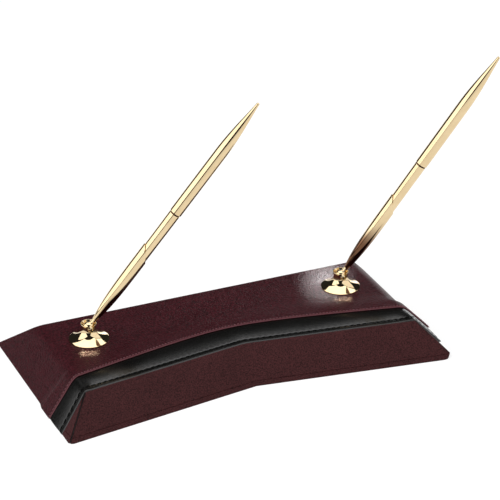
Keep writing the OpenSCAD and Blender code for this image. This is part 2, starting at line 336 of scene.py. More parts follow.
# %% Leather grain group
GRAIN_WARP = 0.7 * MM
PITS_PER_CELL = 1.3
PIT_DEPTH = 0.5
grain_group, ins, outs = new_group("leather_grain", ["Cells"], ["Height", "Pores"])
warp = add_node(grain_group, "ShaderNodeTexNoise", {"Scale": 420.0, "Detail": 2.0})
bend = add_node(grain_group, "ShaderNodeVectorMath", {1: [GRAIN_WARP] * 3}, operation="MULTIPLY_ADD")
pebbles = add_node(grain_group, "ShaderNodeTexVoronoi", feature="DISTANCE_TO_EDGE")
round_off = add_node(
    grain_group, "ShaderNodeMapRange", {"From Max": 0.28}, interpolation_type="SMOOTHERSTEP"
)
pit_scale = add_node(grain_group, "ShaderNodeMath", {1: PITS_PER_CELL}, operation="MULTIPLY")
pits = add_node(grain_group, "ShaderNodeTexNoise", {"Detail": 2.0})
pit_mask = add_node(
    grain_group, "ShaderNodeMapRange", {"From Min": 0.32, "From Max": 0.62, "To Min": 1.0, "To Max": 0.0}
)
deepen = add_node(grain_group, "ShaderNodeMath", {1: -PIT_DEPTH}, operation="MULTIPLY_ADD")
wire(
    grain_group,
    (ins, "Vector", warp, "Vector"),
    (warp, "Color", bend, 0),
    (ins, "Vector", bend, 2),
    (bend, "Vector", pebbles, "Vector"),
    (ins, "Cells", pebbles, "Scale"),
    (pebbles, "Distance", round_off, "Value"),
    (ins, "Vector", pits, "Vector"),
    (ins, "Cells", pit_scale, 0),
    (pit_scale, "Value", pits, "Scale"),
    (pits, "Fac", pit_mask, "Value"),
    (pit_mask, "Result", deepen, 0),
    (round_off, "Result", deepen, 2),
    (deepen, "Value", outs, "Height"),
    (pit_mask, "Result", outs, "Pores"),
)
print("group:", grain_group.name)

# %% Mottling group
mottle_group, ins, outs = new_group("mottling", ["Scale"], ["Mask"])
cloud = add_node(mottle_group, "ShaderNodeTexNoise", {"Detail": 4.0, "Roughness": 0.55})
spread = add_node(mottle_group, "ShaderNodeMapRange", {"From Min": 0.3, "From Max": 0.7})
wire(
    mottle_group,
    (ins, "Vector", cloud, "Vector"),
    (ins, "Scale", cloud, "Scale"),
    (cloud, "Fac", spread, "Value"),
    (spread, "Result", outs, "Mask"),
)
print("group:", mottle_group.name)


# %% Material helpers
def new_material(name, **constants):
    """A material whose Principled shader has these constants on its own sockets."""
    material = bpy.data.materials.new(name)
    material.use_nodes = True
    tree = material.node_tree
    shader = tree.nodes["Principled BSDF"]
    for socket, value in constants.items():
        shader.inputs[socket.replace("_", " ")].default_value = value
    place = add_node(tree, "ShaderNodeTexCoord").outputs["Object"]
    return material, tree, shader, place


def use_group(tree, group, place, **values):
    node = add_node(tree, "ShaderNodeGroup", node_tree=group)
    for socket, value in values.items():
        node.inputs[socket].default_value = value
    tree.links.new(place, node.inputs["Vector"])
    return node


def blend_colours(tree, mask, first, second):
    """A colour that goes from the first to the second with a mask. Either may be a socket."""
    mix = add_node(tree, "ShaderNodeMix", data_type="RGBA")
    tree.links.new(mask, mix.inputs["Factor"])
    for socket, colour in (("A", first), ("B", second)):
        target = next(s for s in mix.inputs if s.name == socket and s.type == "RGBA")
        if isinstance(colour, tuple):
            target.default_value = (*colour, 1)
        else:
            tree.links.new(colour, target)
    return next(s for s in mix.outputs if s.type == "RGBA")


def marked(tree, name):
    """The mask that a mesh carries as an attribute of this name."""
    return add_node(tree, "ShaderNodeAttribute", attribute_name=name).outputs["Fac"]


def spread_value(tree, mask, low, high):
    """A value that goes from low to high with a mask."""
    node = add_node(tree, "ShaderNodeMapRange", {"To Min": low, "To Max": high})
    tree.links.new(mask, node.inputs["Value"])
    return node.outputs["Result"]


def raise_surface(tree, shader, height, depth):
    bump = add_node(tree, "ShaderNodeBump", {"Strength": 1.0, "Distance": depth})
    tree.links.new(height, bump.inputs["Height"])
    wire(tree, (bump, "Normal", shader, "Normal"))


def make_finish(name, first, second, rough, scale, grain=None, bump=None, painted_light_and_tone=None, **constants):
    """Two mottled colours. May have grain (cells, depth, shade of its pores), a bump (scale, depth)
    and a colour laid on where the mesh carries a mark (name of the mark, colour). Here that colour
    paints
    light and shade: a seam's shade, an edge's highlight with its own tone, a dark reflection on the
    funnels."""
    material, tree, shader, place = new_material(name, **constants)
    clouds = use_group(tree, mottle_group, place, Scale=scale).outputs["Mask"]
    colour = blend_colours(tree, clouds, first, second)
    if grain:
        cells, depth, pore_shade = grain
        hide = use_group(tree, grain_group, place, Cells=cells)
        pore_colour = tuple(channel * pore_shade for channel in first)
        colour = blend_colours(tree, hide.outputs["Pores"], colour, pore_colour)
        raise_surface(tree, shader, hide.outputs["Height"], depth)
    if bump:
        fibres = use_group(tree, mottle_group, place, Scale=bump[0])
        raise_surface(tree, shader, fibres.outputs["Mask"], bump[1])
    if painted_light_and_tone:
        colour = blend_colours(tree, marked(tree, painted_light_and_tone[0]), colour, painted_light_and_tone[1])
    tree.links.new(colour, shader.inputs["Base Color"])
    tree.links.new(spread_value(tree, clouds, *rough), shader.inputs["Roughness"])
    print("material:", name)
    return material


# %% [markdown]
# ## Leathers
# The bevels and the panel are a burgundy calf leather with a fine pebbled grain and a satin finish.
# The strip is a smoother, glossier black one. The same clouds of dye run through all three, so that they
# read as leathers of one maker. Where a mesh carries an edge mark, the leather takes another colour.
# At the ends of the front piece, where the seam with the end pieces lies, it is a dark painted shade.
# Along the panel's edge it is paler, partly the turned edge's own tone and partly a painted highlight.

# %% Leather materials
DYE_CLOUDS = 45.0
# Painted shade: the dark mark colour goes on the front piece's ends, for the shade in the seam.
bevel_leather = make_finish(
    "bevel_leather", (0.062, 0.0165, 0.0178), (0.076, 0.0210, 0.0225), rough=(0.44, 0.52),
    scale=DYE_CLOUDS, grain=(1100.0, 0.07 * MM, 0.3), painted_light_and_tone=("edge_tone_and_painted_light", (0.004, 0.002, 0.002)),
    Specular_IOR_Level=0.09,
)
# The panel's mark colour is paler: partly the turned edge's own tone, partly a painted highlight.
panel_leather = make_finish(
    "panel_leather", (0.050, 0.0078, 0.0118), (0.064, 0.0108, 0.0158), rough=(0.36, 0.44),
    scale=DYE_CLOUDS, grain=(640.0, 0.13 * MM, 0.25), painted_light_and_tone=("edge_tone_and_painted_light", (0.17, 0.062, 0.072)),
    Specular_IOR_Level=0.07,
)
black_leather = make_finish(
    "black_leather", (0.0016, 0.0015, 0.0011), (0.0026, 0.0024, 0.0018), rough=(0.23, 0.27),
    scale=DYE_CLOUDS, grain=(1200.0, 0.006 * MM, 0.5), Specular_IOR_Level=0.55,
)

# %% [markdown]
# ## Metals and the rest
# Polished gold is nearly all reflection: a metallic shader with a pale yellow colour and a low
# roughness that the mottling varies. Steel, nylon, board and felt are quieter versions of one pattern.
# The funnels are painted brown near their stems and on their lower side. This is a painted dark
# reflection of the leather base and of the shaded floor in front. Their meshes carry a mark that says
# how brown.

# %% Other materials
GOLD_TONES = ((0.72, 0.555, 0.325), (0.79, 0.625, 0.385))
POLISH = {"rough": (0.04, 0.09), "scale": 90.0, "Metallic": 1.0}
# Painted dark reflection: the brown on the funnels stands in for the leather and shaded floor they
# reflect.
DARK_REFLECTION_BROWN = (0.10, 0.03, 0.014)
gold = make_finish("gold", *GOLD_TONES, **POLISH)
funnel_gold_dark_reflection = make_finish("funnel_gold_dark_reflection", *GOLD_TONES, painted_light_and_tone=("painted_dark_reflection", DARK_REFLECTION_BROWN), **POLISH)
steel = make_finish(
    "steel", (0.50, 0.50, 0.49), (0.60, 0.60, 0.58), rough=(0.25, 0.40), scale=160.0,
    bump=(900.0, 0.01 * MM), Metallic=1.0,
)
dark_enamel = make_finish(
    "dark_enamel", (0.025, 0.004, 0.003), (0.04, 0.007, 0.005), rough=(0.4, 0.5), scale=300.0,
    Specular_IOR_Level=0.1,
)
nylon = make_finish(
    "nylon", (0.62, 0.60, 0.54), (0.68, 0.66, 0.60), rough=(0.4, 0.5), scale=250.0,
    bump=(1500.0, 0.01 * MM),
)
board = make_finish(
    "board", (0.05, 0.03, 0.02), (0.08, 0.05, 0.03), rough=(0.75, 0.9), scale=700.0,
    bump=(2500.0, 0.05 * MM),
)
felt = make_finish(
    "felt", (0.010, 0.016, 0.012), (0.022, 0.030, 0.024), rough=(0.9, 1.0), scale=900.0,
    bump=(2600.0, 0.12 * MM),
)
bush_plastic = make_finish(
    "bush_plastic", (0.02, 0.02, 0.02), (0.03, 0.03, 0.03), rough=(0.4, 0.5), scale=300.0
)
refill_metal = make_finish(
    "refill_metal", (0.55, 0.47, 0.33), (0.62, 0.54, 0.40), rough=(0.2, 0.3), scale=200.0, Metallic=1.0
)
THREAD = {"scale": 2500.0, "bump": (4000.0, 0.03 * MM)}
pink_thread = make_finish(
    "pink_thread", (0.17, 0.065, 0.08), (0.24, 0.10, 0.115), rough=(0.5, 0.6), **THREAD
)
black_thread = make_finish(
    "black_thread", (0.003, 0.003, 0.003), (0.006, 0.006, 0.005), rough=(0.7, 0.8),
    Specular_IOR_Level=0.1, **THREAD,
)
floor_white = make_finish(
    "floor_white", (0.40, 0.40, 0.40), (0.42, 0.42, 0.42), rough=(0.8, 0.9), scale=2.0,
    Emission_Color=(*WHITE, 1.0), Emission_Strength=0.62,
)
floor.data.materials.append(floor_white)

# %% [markdown]
# ## The bevelled board
# All leather lies on one board: a flat top, two end bevels, a back bevel and a shallow V in front.
# Each bevel is a plane through an edge of the outline on the table, leaning in over the height. One
# function gives such a plane, and it can be moved in or out by the thickness of a leather.

# %% Sizes of the board
BASE_LENGTH = 266.7 * MM
BASE_DEPTH = 139.7 * MM
NOTCH = 19.5 * MM
END_RUN = 20 * MM
FRONT_RUN = 20 * MM
BACK_RUN = 26.5 * MM
CORNER_R = {-1: 3.5 * MM, 1: 6.5 * MM}
FOOT_IN = {-1: 0.0, 1: 1.6 * MM}
BACK_R = 2.5 * MM
CORNER_STEPS = 12
COVER = 0.9 * MM
TRIM = 0.9 * MM
PANEL = 1.2 * MM
COVER_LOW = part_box("front_cover")[0].z
CORE_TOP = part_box("core_board")[1].z
TRIM_TOP = CORE_TOP + TRIM
BASE_HEIGHT = CORE_TOP + PANEL
END_POINT = (BASE_LENGTH / 2, -BASE_DEPTH / 2)
FRONT_POINT = (0.0, NOTCH - BASE_DEPTH / 2)
BACK_POINT = (0.0, BASE_DEPTH / 2)
FRONT_RAKE = NOTCH / (BASE_LENGTH / 2)
FRONT_BEND = math.atan(FRONT_RAKE)
END_HEADING, FRONT_HEADING, BACK_HEADING = 0.0, -math.pi / 2 - FRONT_BEND, math.pi / 2
CREASE_X = BASE_LENGTH / 2 - END_RUN


def side_of(x):
    """-1 on the left, 1 on the right."""
    return -1 if x < 0 else 1


def bevel_plane(place, heading, run, side=1, out=0.0):
    """A point on a sloping face and the face's outward normal, on the right (1) or left (-1) side."""
    lean = math.atan2(run, BASE_HEIGHT)
    flat = math.cos(lean)
    normal = Vector((side * flat * math.cos(heading), flat * math.sin(heading), math.sin(lean)))
    return Vector((side * place[0], place[1], 0)) + normal * out, normal


def end_plane(side=1, out=0.0):
    return bevel_plane(END_POINT, END_HEADING, END_RUN, side, out)


def front_plane(side=1, out=0.0):
    return bevel_plane(FRONT_POINT, FRONT_HEADING, FRONT_RUN, side, out)


def back_plane(out=0.0):
    return bevel_plane(BACK_POINT, BACK_HEADING, BACK_RUN, 1, out)


def turned(plane):
    """The same plane, facing the other way."""
    return plane[0], -plane[1]


print("board height in mm:", round(BASE_HEIGHT / MM, 2))

# %% [markdown]
# ## Drawing an outline
# Cut and turned shapes both start as on paper: one vertex, extruded from point to point. The board's
# outline on the table, with its rounded corners, is drawn like that and extruded into a prism. Leather
# that is cut with straight planes only needs to be intersected with it to get the same corners. At the
# right end the outline stays a little inside the bevel's foot, which leaves a small upright edge there.


# %% Outlines
def draw(name, points):
    """A chain of edges through these points, left in edit mode."""
    piece = begin(name, bpy.ops.mesh.primitive_plane_add, size=MM, enter_editmode=True)
    bpy.ops.mesh.select_mode(type="VERT")
    take_all()
    bpy.ops.mesh.merge(type="CENTER")
    bpy.ops.transform.translate(value=points[0])
    for here, there in zip(points, points[1:]):
        step = [b - a for a, b in zip(here, there)]
        bpy.ops.mesh.extrude_vertices_move(TRANSFORM_OT_translate={"value": step})
    return piece


def close_chain(piece):
    pick(piece, "VERT", lambda v: len(v.link_edges) == 1)
    bpy.ops.mesh.edge_face_add()
    take_all()


def shares(steps):
    """Even steps from 0 to 1."""
    return [k / steps for k in range(steps + 1)]


def arc(centre, radius, first, last, steps):
    """Points along an arc, with angles in degrees from the first axis."""
    angles = [math.radians(first + (last - first) * share) for share in shares(steps)]
    return [(centre[0] + radius * math.cos(a), centre[1] + radius * math.sin(a)) for a in angles]


def corner_points(side):
    """The front and back corners of one side, from the front to the back."""
    r = CORNER_R[side]
    end_x = BASE_LENGTH / 2 - FOOT_IN[side]
    centre_up = r * (1 + math.sin(FRONT_BEND)) / math.cos(FRONT_BEND)
    front_y = FRONT_POINT[1] - FRONT_RAKE * end_x + centre_up
    points = arc((end_x - r, front_y), r, math.degrees(FRONT_HEADING), 0, CORNER_STEPS)
    points += arc((end_x - BACK_R, BASE_DEPTH / 2 - BACK_R), BACK_R, 0, 90, CORNER_STEPS)
    return [(side * x, y, -BASE_HEIGHT) for x, y in points]


outline = [(0.0, FRONT_POINT[1], -BASE_HEIGHT), *corner_points(1), *reversed(corner_points(-1))]
prism = draw("outline_prism", outline)
close_chain(prism)
bpy.ops.mesh.edge_face_add()
bpy.ops.mesh.extrude_region_move(TRANSFORM_OT_translate={"value": (0, 0, 3 * BASE_HEIGHT)})
turn_normals_out()
print("outline of", len(outline), "points")

# %% [markdown]
# ## Leather on the bevels
# Each bevel is covered by one flat piece of leather. A cube is cut down with bisect, one plane at a
# time, as a board is sawn. The prism rounds its corners first. Then its edges are bevelled, because
# leather turns softly round a corner, so two pieces that meet leave a fine groove. A shallow line is
# pressed in just above the bottom, where the leather is turned under, and the front piece gets a mark
# along its two ends, where a dark colour paints the shade of the seam with the end pieces.


# %% Cutting and softening leather
EDGE_SOFT = 0.5 * MM
SHARP_TURN = 25
SEAM = 0.6 * MM
LINE_UP = 2.6 * MM
LINE_HALF = 0.3 * MM
LINE_DEPTH = 0.35 * MM


def cut_block(name, planes, open_planes=()):
    """What is left of a large cube behind every plane. Open planes leave no face behind."""
    piece = begin(name, bpy.ops.mesh.primitive_cube_add, size=2 * BASE_LENGTH, enter_editmode=True)
    for planes_here, fill in ((planes, True), (open_planes, False)):
        for point, normal in planes_here:
            saw(point, normal, use_fill=fill, clear_outer=True)
    bpy.ops.object.mode_set(mode="OBJECT")
    return piece


def soften_leather(piece, faces):
    """Rounds the corners and the edges, and presses the line above the bottom of the shown faces."""
    apply_modifier(piece, "BOOLEAN", operation="INTERSECT", solver="EXACT", object=prism)
    ease_edges(piece, EDGE_SOFT, SHARP_TURN)
    hold(piece)
    bpy.ops.object.mode_set(mode="EDIT")
    for height in (LINE_UP - LINE_HALF, LINE_UP, LINE_UP + LINE_HALF):
        saw((0, 0, height), (0, 0, 1))
    for point, normal in faces:
        pick(
            piece,
            "VERT",
            lambda v: abs((v.co - point).dot(normal)) < TOUCH and abs(v.co.z - LINE_UP) < TOUCH,
        )
        bpy.ops.transform.translate(value=-normal * LINE_DEPTH)
    turn_normals_out()
    smooth(piece, degrees=30)


ABOVE_LOW = (Vector((0, 0, COVER_LOW)), Vector((0, 0, -1)))
BELOW_TOP = (Vector((0, 0, CORE_TOP)), Vector((0, 0, 1)))
MIDDLE = (Vector((0, 0, 0)), Vector((-1, 0, 0)))

# %% Front and back leathers
front = cut_block(
    "front_leather",
    [ABOVE_LOW, BELOW_TOP, front_plane(), turned(front_plane(out=-COVER)), end_plane()],
    [MIDDLE],
)
mirror_half(front)
soften_leather(front, [front_plane(), front_plane(-1)])
hold(front)
bpy.ops.object.mode_set(mode="EDIT")
for side in (-1, 1):
    saw(*end_plane(side, -EDGE_SOFT))
bpy.ops.object.mode_set(mode="OBJECT")


# Painted shade: vertices at the front piece's two ends, which get a dark colour for the seam's shade.
def in_seam_shade(vertex):
    point, normal = end_plane(side_of(vertex.co.x))
    return (vertex.co - point).dot(normal) > -EDGE_SOFT / 2


mark(front, "edge_tone_and_painted_light", in_seam_shade)
finish_piece(front, "base", ["front_cover"], bevel_leather)
back = cut_block(
    "back_leather",
    [
        ABOVE_LOW, BELOW_TOP, back_plane(), turned(back_plane(-COVER)),
        end_plane(1, -COVER), end_plane(-1, -COVER),
    ],
)
soften_leather(back, [back_plane()])
finish_piece(back, "base", ["back_cover"], bevel_leather)

# %% [markdown]
# ## Laying leather over the board
# The strip and the panel are flat blanks that go over the top, round a soft crease and down both end
# bevels. A grid is the blank, and a function lays each of its points on the board: along the blank it
# follows the top and the bevels, across it the distance from the front edge, and a small lift along
# the surface's normal gives rolled edges, sewn channels and puckers. Down the ends the layers don't
# lie alike: they are pared thin on the left and stand off a little on the right.

# %% Edges of the strip and the panel in plan
PANEL_MID_Y = -9.6 * MM
PANEL_RAKE = 0.235
PANEL_ROUND = 35 * MM
TRIM_ROUND = 2 * MM
TRIM_LAP = 8 * MM
TRIM_DRIFT = {-1: 0.46, 1: -0.05}
PANEL_DRIFT = {-1: 0.28, 1: -0.15}


def past_crease(x, drift):
    """Forward drift of an edge down the end bevel, which differs a little from side to side."""
    return drift[side_of(x)] * max(abs(x) - CREASE_X, 0)


def rounded_v(x, radius):
    """Distance from the middle of a V whose point is rounded. It stays the same past the crease."""
    return math.hypot(min(abs(x), CREASE_X), radius) - radius


def panel_sweep(x):
    return PANEL_MID_Y - PANEL_RAKE * rounded_v(x, PANEL_ROUND)


def panel_edge(x):
    return panel_sweep(x) - past_crease(x, PANEL_DRIFT)


def step_edge(x):
    """Where the strip ends under the panel, which steps down behind it."""
    return panel_sweep(x) + TRIM_LAP


def trim_edge(x):
    """Along the top of the front bevel, then down the end."""
    top = FRONT_POINT[1] + FRONT_RUN * TRIM_TOP / BASE_HEIGHT / math.cos(FRONT_BEND)
    return top - FRONT_RAKE * rounded_v(x, TRIM_ROUND) - past_crease(x, TRIM_DRIFT)


print("panel edge in mm:", [round(panel_edge(x) / MM, 1) for x in (-CREASE_X, 0, CREASE_X)])

# %% End leathers
for side, word in ((-1, "left"), (1, "right")):
    behind = (Vector((0, step_edge(BASE_LENGTH), 0)), Vector((0, 1, 0)))
    end = cut_block(
        f"{word}_end_leather",
        [
            ABOVE_LOW, BELOW_TOP, end_plane(side), turned(end_plane(side, -COVER)),
            front_plane(side, -COVER - SEAM), behind,
        ],
    )
    soften_leather(end, [end_plane(side)])
    finish_piece(end, "base", [f"{word}_end_cover"], bevel_leather)
bpy.data.objects.remove(prism)

# %% How a blank follows the board
BEVEL_LENGTH = math.hypot(END_RUN, BASE_HEIGHT)
HALF_LENGTH = CREASE_X + BEVEL_LENGTH
END_STRETCH = BEVEL_LENGTH / BASE_HEIGHT
END_NORMAL = end_plane()[1]
STRIP_FOOT = {-1: 0.45, 1: 1.7}
PANEL_FOOT = {-1: 0.45, 1: 1.4}


def soft_min(a, b, width):
    """The lower of two heights, rounded where they meet, and the share that b has there."""
    share = min(max(0.5 + 0.5 * (a - b) / width, 0), 1)
    return a + (b - a) * share - width * share * (1 - share), share


def column_x(along, out, limit=math.inf):
    """Place in plan of a column of the blank, which runs from -1 to 1 between the two bottom edges."""
    run = abs(along) * HALF_LENGTH
    foot = BASE_LENGTH / 2 + out * END_STRETCH - END_RUN * COVER_LOW / BASE_HEIGHT
    if run > CREASE_X:
        run = CREASE_X + (min(foot, limit) - CREASE_X) * (run - CREASE_X) / BEVEL_LENGTH
    return math.copysign(run, along)


def over_end(x, top, out, bend):
    """Height of a layer above its place along the base, and its normal there."""
    slope = (BASE_LENGTH / 2 + out * END_STRETCH - abs(x)) * BASE_HEIGHT / END_RUN
    height, share = soft_min(top, slope, bend)
    normal = Vector((0, 0, 1)).lerp(END_NORMAL, share).normalized()
    normal.x = math.copysign(normal.x, x)
    return height, normal


def stand_off(x, foot):
    """Share of a layer's distance from the board, from 1 at the crease to its foot's share."""
    return 1 - (1 - foot[side_of(x)]) * min(max(abs(x) - CREASE_X, 0) / END_RUN, 1)


def lay_blank(name, columns, rows, place):
    """A grid whose points are laid by place(along, share), share running 0 to 1 from front to back."""
    grid = bpy.ops.mesh.primitive_grid_add
    piece = begin(name, grid, x_subdivisions=columns, y_subdivisions=rows, size=2)
    for vertex in piece.data.vertices:
        vertex.co = place(vertex.co.x, (vertex.co.y + 1) / 2)
    return piece


def thicken(piece, thickness):
    """Gives a blank its thickness and trims its foot level with the other leather."""
    apply_modifier(piece, "SOLIDIFY", thickness=thickness, offset=-1)
    for vertex in piece.data.vertices:
        vertex.co.z = max(vertex.co.z, COVER_LOW)
    smooth(piece, degrees=50)


def bell_curve(distance, width):
    return math.exp(-((distance / width) ** 2))


def smooth_step(value):
    value = min(max(value, 0), 1)
    return value * value * (3 - 2 * value)


print("blank half length in mm:", round(HALF_LENGTH / MM, 1))

# %% [markdown]
# ## Black trim strip
# The strip's front edge is turned over a cord of its own leather, so it stands up as a soft roll. A
# row of stitches holds the roll down in a channel, and each stitch puckers the leather a little.
# Behind it the strip swells over its padding and dips to the panel. At each crease the spare leather is
# folded into a small raised dart. The cross-section is a short list of stretches: an arc for the roll,
# the hem with its bead, the channel and the padding. Down the ends it flattens.

# %% Trim strip
TRIM_ROW = 4.6 * MM
TRIM_PITCH = 4.2 * MM
STRIP_THICK = 0.8 * MM
ROLL, ROLL_BEHIND = 0.9 * MM, 0.7
ROLL_FROM, ROLL_TURN = 215, 125
CHANNEL = 0.70 * MM
BEAD = 0.26 * MM
PADDING, PADDING_TURN = 0.6 * MM, 0.9 * math.pi
GROOVE, GROOVE_WIDTH = 0.12 * MM, 0.6 * MM
PUCKER, PUCKER_WIDTH = 0.05 * MM, 1.6 * MM
FLAT_END, FLAT_CREASE, FLAT_WIDTH = 0.5, 0.9, 5 * MM
DART, DART_REACH = 0.35 * MM, 0.9
DART_RIDGE, DART_INSIDE, DART_OUTSIDE = 1 * MM, 1 * MM, 4 * MM
TRIM_BEND = 3.2 * MM
TRIM_COLUMNS = 640
ROLL_ROWS, HEM_ROWS, REAR_ROWS = 7, 12, 14
TRIM_ROWS = ROLL_ROWS + HEM_ROWS + REAR_ROWS
HEM_END = TRIM_ROW + 1 * MM
REAR_SPREAD = 1.5


def trim_x(along):
    return column_x(along, TRIM * STRIP_FOOT[side_of(along)])


def trim_surface(along, across):
    x = trim_x(along)
    height, normal = over_end(x, TRIM_TOP, TRIM * stand_off(x, STRIP_FOOT), TRIM_BEND)
    return Vector((x, trim_edge(x) + across, height)), normal


def trim_lift(along, across):
    """Height of the strip's face above its layer, by the distance behind its front edge."""
    x = trim_x(along)
    open_width = panel_edge(x) - trim_edge(x)
    if across < TRIM_ROW:
        sink = CHANNEL - BEAD * math.sin(math.pi * max(across, 0) / TRIM_ROW)
    else:
        share = min((across - TRIM_ROW) / (open_width - TRIM_ROW), 1)
        sink = CHANNEL * (1 - share) ** 2 - PADDING * math.sin(PADDING_TURN * share)
    groove = GROOVE * bell_curve(across - TRIM_ROW, GROOVE_WIDTH)
    wave = math.cos(math.tau * along * HALF_LENGTH / TRIM_PITCH)
    pucker = PUCKER * wave * bell_curve(across - TRIM_ROW, PUCKER_WIDTH)
    bent = abs(along) * HALF_LENGTH - CREASE_X
    left_over = 1 - FLAT_END * smooth_step(bent / FLAT_WIDTH)
    left_over *= 1 - FLAT_CREASE * bell_curve(bent, FLAT_WIDTH)
    dart_side = DART_INSIDE if bent < DART_RIDGE else DART_OUTSIDE
    fold = max(1 - abs(bent - DART_RIDGE) / dart_side, 0)
    dart = DART * fold * smooth_step(1 - across / (open_width * DART_REACH))
    return left_over * (pucker - sink - groove) + dart


def trim_place(along, share):
    row = share * TRIM_ROWS
    x = trim_x(along)
    width = step_edge(x) - trim_edge(x)
    start = ROLL_BEHIND * ROLL
    if row < ROLL_ROWS:
        angle = math.radians(ROLL_FROM - ROLL_TURN * row / ROLL_ROWS)
        across = ROLL * (ROLL_BEHIND + math.cos(angle))
        lift = ROLL * (math.sin(angle) - 1) + trim_lift(along, start)
    else:
        hem = min((row - ROLL_ROWS) / HEM_ROWS, 1)
        rear = max((row - ROLL_ROWS - HEM_ROWS) / REAR_ROWS, 0)
        across = start + (HEM_END - start) * hem
        across += (width - HEM_END) * rear**REAR_SPREAD
        lift = trim_lift(along, across)
    spot, normal = trim_surface(along, across)
    return spot + normal * lift


strip = lay_blank("trim_strip_leather", TRIM_COLUMNS, TRIM_ROWS, trim_place)
thicken(strip, STRIP_THICK)
finish_piece(strip, "base", ["trim_strip"], black_leather)

# %% [markdown]
# ## Top panel
# The panel lies on the board, flush with the leather of the ends. Along its front it laps over the
# strip and is sewn down there. The turned edge is rounded over and a little paler than the face,
# partly its own tone and partly a painted highlight where the rounding catches the light, and the sewn
# row sits in a shallow dent. An attribute marks that edge, so that the leather is paler only there.

# %% Top panel
PANEL_ROW = 1.6 * MM
PANEL_PITCH = 2.2 * MM
PANEL_BEND = 4.4 * MM
LAP_OUT = 2.0 * MM
PANEL_COLUMNS = 520
PANEL_ROWS = 50
FINE_SHARE, FINE_DEPTH = 0.62, 15 * MM
EDGE_ROUND, EDGE_DROP, PALE_ROWS = 0.9 * MM, 0.35 * MM, 2.5
DENT, DENT_WIDTH, DENT_WAVE = 0.14 * MM, 0.5 * MM, 0.5
LAP_FALL, LAP_SHORTER = 16 * MM, 9 * MM
LAP_BEFORE, LAP_CHANGE = 8 * MM, 9 * MM
PLAN_ROUNDS = 3
DEPTH_ROUNDS, DEPTH_SHARE = 12, 0.6


def lap_raise(x, y):
    """1 where the panel lies over the strip, 0 where it lies on the board."""
    near_end = smooth_step((abs(x) - CREASE_X + LAP_BEFORE) / LAP_CHANGE)
    return 1 - smooth_step((y - step_edge(x)) / (LAP_FALL - LAP_SHORTER * near_end))


def corner_limit(y):
    """How far out the rounded back corner lets the panel go."""
    past = max(y - BASE_DEPTH / 2 + BACK_R, 0)
    return BASE_LENGTH / 2 - BACK_R + math.sqrt(max(BACK_R * BACK_R - past * past, 0))


def panel_at(along, y):
    """Place on the panel's face at one column and one depth, and the normal there."""
    x = math.copysign(min(abs(along) * HALF_LENGTH, BASE_LENGTH / 2), along)
    for _ in range(PLAN_ROUNDS):
        out = LAP_OUT * PANEL_FOOT[side_of(along)] * lap_raise(x, y)
        x = column_x(along, out, corner_limit(y) + out * END_STRETCH)
    raised = lap_raise(x, y)
    out = LAP_OUT * raised * stand_off(x, PANEL_FOOT)
    height, normal = over_end(x, BASE_HEIGHT + TRIM * raised, out, PANEL_BEND)
    return Vector((x, y, height)), normal


def panel_front(along):
    """Depth of the panel's front edge at one column."""
    return panel_edge(column_x(along, LAP_OUT * PANEL_FOOT[side_of(along)]))


def panel_surface(along, across):
    return panel_at(along, panel_front(along) + across)


def panel_lift(along, across):
    drop = EDGE_DROP * max(1 - across / EDGE_ROUND, 0) ** 2
    dent = DENT * bell_curve(across - PANEL_ROW, DENT_WIDTH)
    dent *= 1 + DENT_WAVE * math.cos(math.tau * along * HALF_LENGTH / PANEL_PITCH)
    return -drop - dent


def panel_place(along, share):
    """Fine rows by the front edge, then coarse ones back to the top of the back bevel."""
    front_y = panel_front(along)
    fine = FINE_DEPTH * min(share / FINE_SHARE, 1)
    coarse = max(share - FINE_SHARE, 0) / (1 - FINE_SHARE)
    y = front_y + fine
    for _ in range(DEPTH_ROUNDS if coarse else 1):
        spot, normal = panel_at(along, y)
        back_y = BACK_POINT[1] - BACK_RUN * spot.z / BASE_HEIGHT
        target = front_y + fine + (back_y - front_y - FINE_DEPTH) * coarse
        y += (target - y) * DEPTH_SHARE
    return spot + normal * panel_lift(along, spot.y - front_y)


panel = lay_blank("top_panel_leather", PANEL_COLUMNS, PANEL_ROWS, panel_place)
# The first rows are marked paler: the edge's own tone and a painted highlight on its rounding.
mark(panel, "edge_tone_and_painted_light", lambda v: max(1 - v.index // (PANEL_COLUMNS + 1) / PALE_ROWS, 0))
thicken(panel, PANEL)
finish_piece(panel, "base", ["top_panel"], panel_leather)
glow_receivers = bpy.data.collections.new("glow_receivers")
glow_receivers.objects.link(panel)
for light in glows:
    light.light_linking.receiver_collection = glow_receivers

# %% [markdown]
# ## Stitches
# A stitch is a short fat thread that dips into the leather at both ends. One is shaped from a small
# sphere by stretching it, then it is copied along the row, each copy turned to the row's direction,
# and the copies are joined into one piece. The black ones lie a little slanted.


# %% Stitches
SMALL_STEP = 0.0005


def stitch_matrix(surface, along, across, lift, slant):
    """Place of a stitch on a laid surface: x along the row, z out of the leather."""
    spot, normal = surface(along, across)
    way = surface(along + SMALL_STEP, across)[0] - surface(along - SMALL_STEP, across)[0]
    way = (way - normal * way.dot(normal)).normalized()
    axes = Matrix((way, normal.cross(way), normal)).transposed().to_4x4()
    return Matrix.Translation(spot + normal * lift) @ axes @ Matrix.Rotation(slant, 4, "Z")


